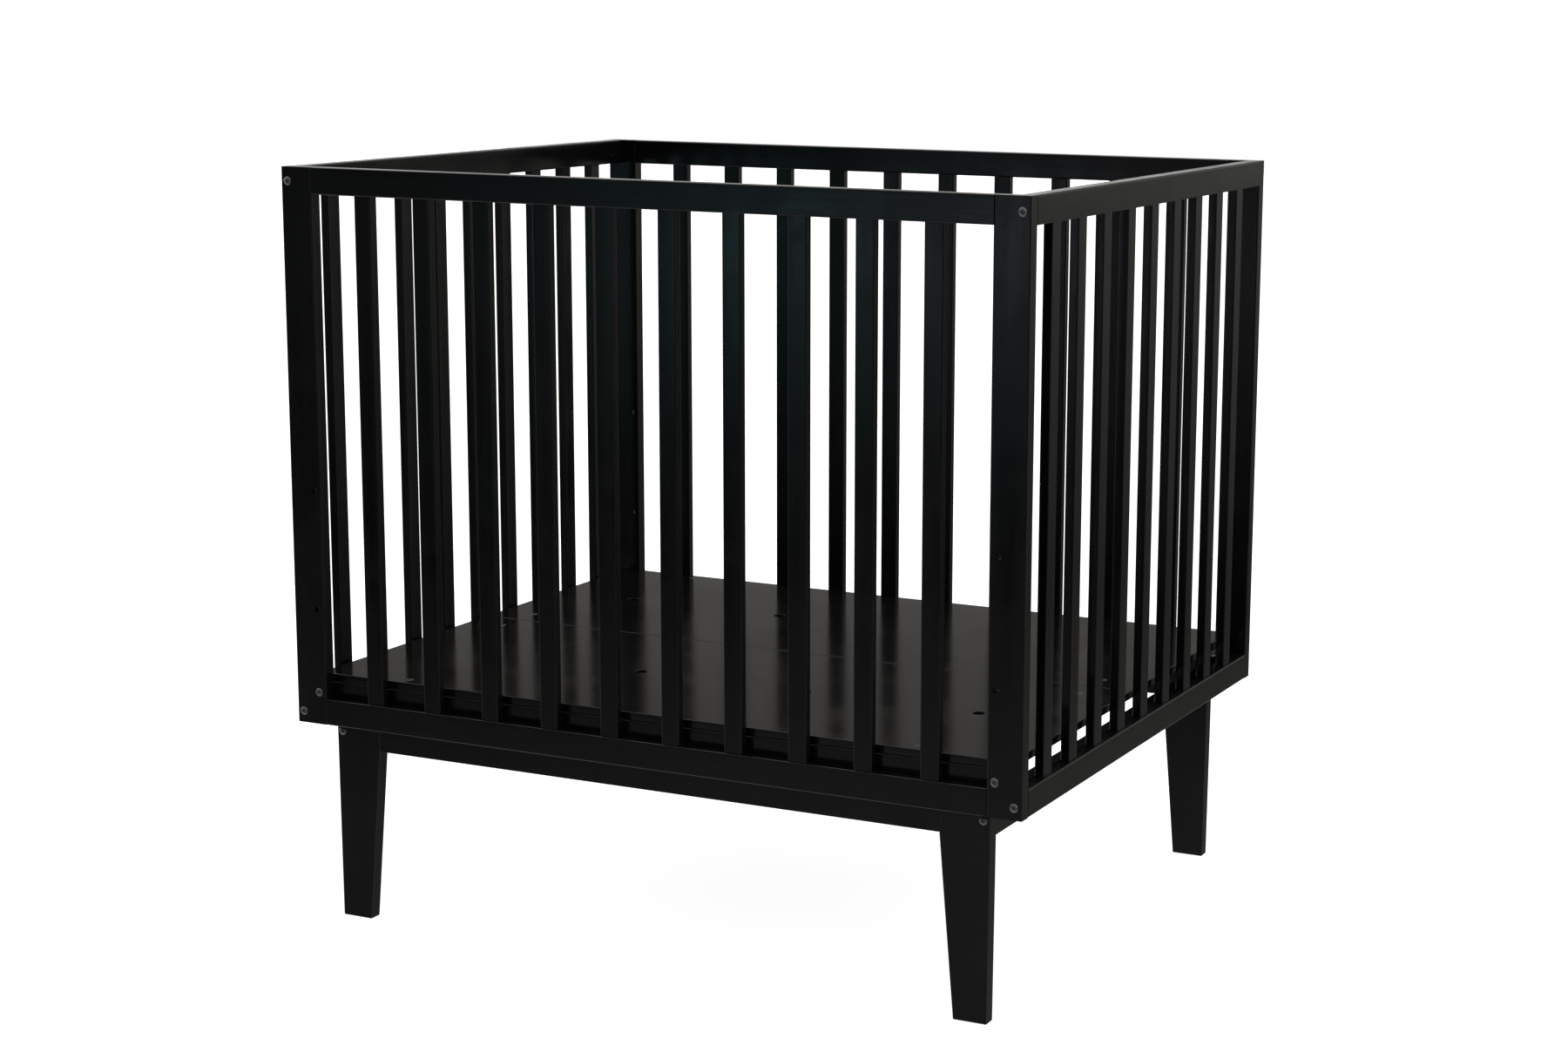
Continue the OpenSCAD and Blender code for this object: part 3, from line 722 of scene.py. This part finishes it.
nut_y = side_rail_high.y - BARREL_IN
leg_nut_y = leg_y - (front_y - nut_y)
barrel_places = [((sx * corner_bolt_x, sy * nut_y, z), (-sx, 0, 0))
                 for sx, sy in corners for z in corner_bolt_zs]
barrel_places += [((sx * leg_bolt_x, sy * leg_nut_y, leg_bolt_z), (-sx, 0, 0))
                  for sx, sy in corners]
set_in("nuts_barrel", barrel_nut(), barrel_places, "barrel_nuts", "box")

floor_nut_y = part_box("floor_nuts")[1].y
floor_bolt_l = front_y - floor_nut_y + FLANGE_NUT_H + FLOOR_BOLT_END
floor_bolt_places = [((sx * floor_bolt_x, sy * front_y, floor_bolt_z), (0, sy, 0))
                     for sx, sy in corners]
set_in("bolts_floor", button_bolt(floor_bolt_l), floor_bolt_places, "floor_bolts", "box")
floor_nut_places = [((sx * floor_bolt_x, sy * floor_nut_y, floor_bolt_z), (0, -sy, 0))
                    for sx, sy in corners]
set_in("nuts_floor", flange_nut(), floor_nut_places, "floor_nuts", "box")
board_screw_places = [((x, y, board_high.z), (0, 0, 1)) for x, y in screw_places]
set_in("screws_floor", wood_screw(SCREW_L), board_screw_places, "floor_screws", "floor")


# ---- Leg frame ----
# Four tapered legs of beech and an apron between each pair, in the same black lacquer. The
# legs and the long aprons reach up behind the bottom rails, and screws from inside hold them
# there. A bolt through each leg draws the side apron up against the leg's back.

FOOT_W = 0.0425
LEG_LEAN = 0.002
LEG_EDGE_R = 0.0015
FOOT_STEPS = 3
APRON_EDGE_R = 0.001
FRAME_SCREW_RISE = 0.014
FRAME_SCREW_X = 0.1415
FRAME_SCREW_L = 0.030
LEG_NUT_HOLE_DEPTH = 0.015
NEAR = 0.0001

shoulder_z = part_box("front_apron")[0].z


def move_corners(piece, shift, wanted):
    """Moves the corners of a piece for which wanted(place) holds."""
    pick(piece)
    bpy.ops.object.mode_set(mode="EDIT")
    bpy.ops.mesh.select_mode(type="VERT")
    bpy.ops.mesh.select_all(action="DESELECT")
    net = bmesh.from_edit_mesh(piece.data)
    for corner in net.verts:
        if wanted(corner.co):
            corner.select_set(True)
    net.select_flush(True)
    bmesh.update_edit_mesh(piece.data)
    bpy.ops.transform.translate(value=shift)
    bpy.ops.object.mode_set(mode="OBJECT")


def leg(name, low, high, sx):
    """A leg: upright behind the rail, then tapered on its inner side down to the foot."""
    piece = blank(name, (low.x, low.y, shoulder_z), high)
    inner, outer = (low.x, high.x) if sx > 0 else (high.x, low.x)
    pick(piece)
    bpy.ops.object.mode_set(mode="EDIT")
    bpy.ops.mesh.select_mode(type="FACE")
    bpy.ops.mesh.select_all(action="DESELECT")
    net = bmesh.from_edit_mesh(piece.data)
    for facet in net.faces:
        if facet.normal.z < -LIES_ALONG:
            facet.select_set(True)
    bmesh.update_edit_mesh(piece.data)
    bpy.ops.mesh.extrude_region_move(TRANSFORM_OT_translate={"value": (0, 0, low.z - shoulder_z)})
    bpy.ops.object.mode_set(mode="OBJECT")
    foot_inner = outer - sx * (LEG_LEAN + FOOT_W)
    shoulder_lean = LEG_LEAN * (high.z - shoulder_z) / (high.z - low.z)
    move_corners(piece, (foot_inner - inner, 0, 0),
                 lambda at: at.z < NEAR and abs(at.x - inner) < NEAR)
    move_corners(piece, (-sx * LEG_LEAN, 0, 0),
                 lambda at: at.z < NEAR and abs(at.x - outer) < NEAR)
    move_corners(piece, (-sx * shoulder_lean, 0, 0),
                 lambda at: abs(at.z - shoulder_z) < NEAR and abs(at.x - outer) < NEAR)
    round_edges(piece, LEG_EDGE_R, ROUND_STEPS, lambda middle, way: abs(way.z) > LIES_ALONG)
    round_edges(piece, LEG_EDGE_R, FOOT_STEPS, lambda middle, way: middle.z < NEAR)
    round_edges(piece, END_EASE, EASE_STEPS, lambda middle, way: middle.z > high.z - NEAR)
    return piece


for face, sy in FACES.items():
    for side, sx in SIDES.items():
        low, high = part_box(f"{face}_{side}_leg")
        piece = leg(f"leg_{face}_{side}", low, high, sx)
        bore(piece, drill((sx * leg_bolt_x, low.y, leg_bolt_z), (0, 1, 0), BOLT_HOLE_R, leg_t))
        fitted(piece, lacquer_z, "black_lacquer", "box", f"{face}_{side}_leg")
    apron = bar(f"apron_{face}", *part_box(f"{face}_apron"), soft=APRON_EDGE_R)
    fitted(apron, lacquer_x, "black_lacquer", "box", f"{face}_apron")

for side, sx in SIDES.items():
    low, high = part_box(f"{side}_apron")
    apron = bar(f"apron_{side}", low, high, soft=APRON_EDGE_R)
    inside = low.x if sx > 0 else high.x
    bore(apron, *[drill((inside, sy * leg_nut_y, leg_bolt_z), (sx, 0, 0), BARREL_R + FIT_GAP,
                        LEG_NUT_HOLE_DEPTH, through=False) for sy in (-1, 1)])
    fitted(apron, lacquer_y, "black_lacquer", "box", f"{side}_apron")

leg_mid_x = (leg_low.x + leg_high.x) / 2
frame_screw_z = post_low.z + FRAME_SCREW_RISE
leg_back_y = -leg_high.y
frame_screw_places = [((sx * x, sy * leg_back_y, frame_screw_z), (0, -sy, 0))
                      for sx, sy in corners for x in (leg_mid_x, FRAME_SCREW_X)]
set_in("screws_frame", wood_screw(FRAME_SCREW_L), frame_screw_places, "frame_screws", "box")


# ---- Studio ----
# The pen stands on a plain white sweep that runs on into a white background. What the lacquer
# mirrors is a dim studio: a pale wall low behind the pen, a lit patch to the front left, and
# a dark ceiling. The camera stands at the front right corner, a little above the rails.

CAMERA_AZIMUTH = 27.64
CAMERA_ELEVATION = 10.65
CAMERA_DISTANCE = 3.708
LOOK_YAW = 25.33
LOOK_PITCH = 10.62
LOOK_ROLL = 0.44
LENS = 65.73
SHIFT_X = -0.0772
SHIFT_Y = 0.0049
SWEEP_SIZE = 30.0
SWEEP_GREY = (0.78, 0.78, 0.78, 1)
SWEEP_PALER = (0.82, 0.82, 0.82, 1)
WHITE = (1, 1, 1, 1)

bpy.context.scene.view_settings.view_transform = "Standard"

bpy.ops.object.select_all(action="DESELECT")
bpy.ops.mesh.primitive_plane_add(size=SWEEP_SIZE, location=(0, 0, 0))
sweep = bpy.context.object
sweep.name = "studio_floor"
sweep.visible_glossy = False
sweep.visible_diffuse = False
white, tree, shader, place = started("white_sweep")
clouds = node(tree, "TexNoise", {"Vector": place, "Scale": 2.0}).outputs["Fac"]
tree.links.new(mixed(tree, clouds, SWEEP_GREY, SWEEP_PALER), shader.inputs["Base Color"])
shader.inputs["Roughness"].default_value = 0.9
shader.inputs["Emission Color"].default_value = WHITE
shader.inputs["Emission Strength"].default_value = 0.9
sweep.data.materials.append(white)


def stops(tree, value, low, high, points):
    """A colour ramp over low..high from (position, grey or colour) points."""
    share = node(tree, "MapRange", {"Value": value, "From Min": low, "From Max": high})
    chart = node(tree, "ValToRGB", {"Fac": share.outputs["Result"]})
    marks = chart.color_ramp.elements
    while len(marks) < len(points):
        marks.new(0.5)
    for mark, (position, tone) in zip(marks, points):
        mark.position = (position - low) / (high - low)
        mark.color = (*tone, 1) if isinstance(tone, tuple) else (tone, tone, tone, 1)
    return chart.outputs["Color"]


def times(tree, first, second):
    return node(tree, "VectorMath", {0: first, 1: second}, operation="MULTIPLY").outputs["Vector"]


def plus(tree, first, second):
    return node(tree, "VectorMath", {0: first, 1: second}, operation="ADD").outputs["Vector"]


studio = bpy.data.worlds.new("studio")
bpy.context.scene.world = studio
studio.use_nodes = True
tree = studio.node_tree
ray = node(tree, "SeparateXYZ", {0: node(tree, "TexCoord").outputs["Generated"]}).outputs
rise = ray["Z"]
heading = maths(tree, "DEGREES", maths(tree, "ARCTAN2", maths(tree, "MULTIPLY", ray["X"], -1.0),
                                       maths(tree, "MULTIPLY", ray["Y"], -1.0)))

# Behind the camera: a pale wall to the front left that ends a little below eye height.
wall_tone = stops(tree, heading, -180, 180, [
    (-180, 0.2), (-100, 0.2), (-70, 0.12), (-20, 0.15), (5, 0.3), (20, (0.5, 0.5, 0.52)),
    (22.8, (0.66, 0.68, 0.72)), (24.4, (0.56, 0.66, 0.78)), (26.1, (0.33, 0.52, 0.58)),
    (27.7, (0.34, 0.68, 0.76)), (29.4, (0.33, 0.66, 0.73)), (30.8, (0.14, 0.22, 0.29)),
    (32.5, (0.1, 0.11, 0.11)), (40, 0.1), (50, 0.3), (110, 0.4), (150, 0.2), (180, 0.2)])
wall_height = stops(tree, rise, -0.3, 0.7, [
    (-0.17, 0.0), (-0.15, 0.08), (-0.114, 0.42), (-0.084, 1.0), (-0.07, 1.4), (-0.054, 0.3),
    (0.0, 0.07), (0.3, 0.12), (0.6, 0.25)])

# What the ground throws back from behind the camera.
ground_rise = stops(tree, rise, -1.0, 0.0, [
    (-1.0, 0.3), (-0.8, 0.2), (-0.55, 0.11), (-0.4, 0.13), (-0.33, 0.24), (-0.262, 0.24),
    (-0.249, 0.17), (-0.224, 0.06), (-0.19, 0.025), (-0.12, 0.005), (-0.05, 0.0)])
ground_turn = stops(tree, heading, -180, 180, [
    (-120, 2.4), (-60, 1.6), (-20, 1.0), (24, 1.0), (31, 0.9), (37, 0.5), (40, 0.6), (50, 3.0),
    (180, 3.0)])

# Past the pen: a pale strip of wall just above the horizon, warm, and dim above and below.
back_rise = stops(tree, rise, -1.0, 1.0, [
    (-1.0, (0.3, 0.295, 0.29)), (-0.4, (0.17, 0.167, 0.16)), (-0.25, (0.11, 0.108, 0.101)),
    (-0.21, (0.06, 0.059, 0.054)), (-0.12, (0.135, 0.132, 0.121)), (-0.04, (0.2, 0.196, 0.18)),
    (0.03, (0.74, 0.73, 0.7)), (0.07, (0.78, 0.77, 0.74)), (0.13, (0.3, 0.292, 0.28)),
    (0.22, (0.135, 0.127, 0.118)), (0.35, (0.2, 0.195, 0.19)), (0.7, (0.5, 0.5, 0.49))])
back_turn = stops(tree, heading, -180, 180, [
    (-180, 2.2), (-166, 1.0), (-143, 1.0), (-135, 2.6), (-100, 3.0), (100, 3.0), (134, 2.4),
    (143, 1.0), (165, 1.0), (180, 2.2)])

# Soft lights overhead and at the sides, out of the way of what this camera sees mirrored.
overhead = stops(tree, rise, 0.0, 1.0, [(0.4, 0.0), (0.75, 0.25), (1.0, 0.4)])
side_turn = stops(tree, heading, -180, 180, [
    (-130, 0.0), (-100, 1.0), (-45, 1.0), (-10, 0.0), (55, 0.0), (75, 1.0), (110, 1.0), (132, 0.0)])
side_rise = stops(tree, rise, -0.2, 1.0, [
    (-0.1, 0.0), (0.1, 0.2), (0.3, 0.32), (0.6, 0.6), (0.9, 0.0)])
side_light = times(tree, side_rise, side_turn)
front_light = plus(tree, times(tree, wall_tone, wall_height), times(tree, ground_rise, ground_turn))
front_light = plus(tree, front_light, overhead)
back_light = times(tree, back_rise, back_turn)
behind = step(tree, ray["Y"], -0.2, 0.2)
mirrored = plus(tree, mixed(tree, behind, front_light, back_light), side_light)
seen = node(tree, "LightPath").outputs["Is Camera Ray"]
tree.links.new(mixed(tree, seen, mirrored, WHITE), tree.nodes["Background"].inputs["Color"])

camera = bpy.data.objects.new("camera", bpy.data.cameras.new("camera"))
bpy.context.collection.objects.link(camera)
azimuth, elevation = math.radians(CAMERA_AZIMUTH), math.radians(CAMERA_ELEVATION)
middle = (cad_box[0] + cad_box[1]) / 2
away = Vector((math.sin(azimuth) * math.cos(elevation), -math.cos(azimuth) * math.cos(elevation),
               math.sin(elevation)))
camera.location = middle + CAMERA_DISTANCE * away
look = (Matrix.Rotation(math.radians(LOOK_YAW), 3, "Z")
        @ Matrix.Rotation(math.radians(90 - LOOK_PITCH), 3, "X")
        @ Matrix.Rotation(math.radians(LOOK_ROLL), 3, "Z"))
camera.rotation_euler = look.to_euler()
camera.data.lens = LENS
camera.data.shift_x = SHIFT_X
camera.data.shift_y = SHIFT_Y
bpy.context.scene.camera = camera
